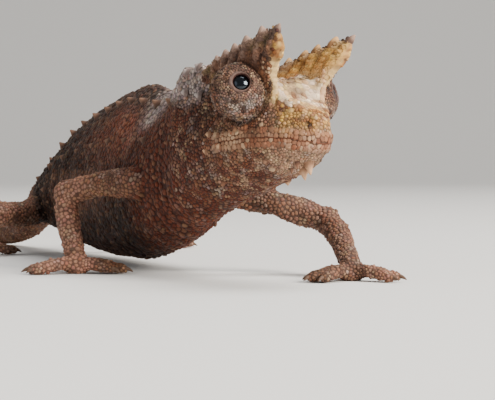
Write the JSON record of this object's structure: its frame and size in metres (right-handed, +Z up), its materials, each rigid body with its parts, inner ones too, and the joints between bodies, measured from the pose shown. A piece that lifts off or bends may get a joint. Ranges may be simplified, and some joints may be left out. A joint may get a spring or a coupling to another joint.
{
  "type": "brown leaf chameleon (brookesia superciliaris), still life-size model",
  "caption": "Life-size still model of a leaf chameleon standing with its head turned: pointed brow horns, turret eyes, a deep flattened body, spiny back and grasping feet.",
  "frame": {"origin": "on the floor, under the middle of the whole animal's bounding box", "axes": "+Z up, the trunk along Y with the shoulders towards -Y, the animal's left at +X"},
  "size_m": [0.0251, 0.0709, 0.0159],
  "materials": {
    "head_skin": "matte granular skin",
    "body_skin": "matte granular skin",
    "limb_skin": "matte granular skin",
    "horn": "matte horny scales",
    "eye": "wet gloss"
  },
  "bodies": {
    "root": {"head": "head_skin", "lower_jaw": "head_skin", "horn_left": "horn", "horn_right": "horn", "eye_turret_left": "head_skin", "eye_turret_right": "head_skin", "eyeball_left": "eye", "eyeball_right": "eye", "neck": "body_skin", "torso": "body_skin", "tail_base": "body_skin", "tail_middle": "body_skin", "tail_tip": "body_skin", "upper_arm_left": "limb_skin", "forearm_left": "limb_skin", "hand_left": "limb_skin", "upper_arm_right": "limb_skin", "forearm_right": "limb_skin", "hand_right": "limb_skin", "thigh_left": "limb_skin", "shin_left": "limb_skin", "foot_left": "limb_skin", "thigh_right": "limb_skin", "shin_right": "limb_skin", "foot_right": "limb_skin"}
  },
  "joints": []
}
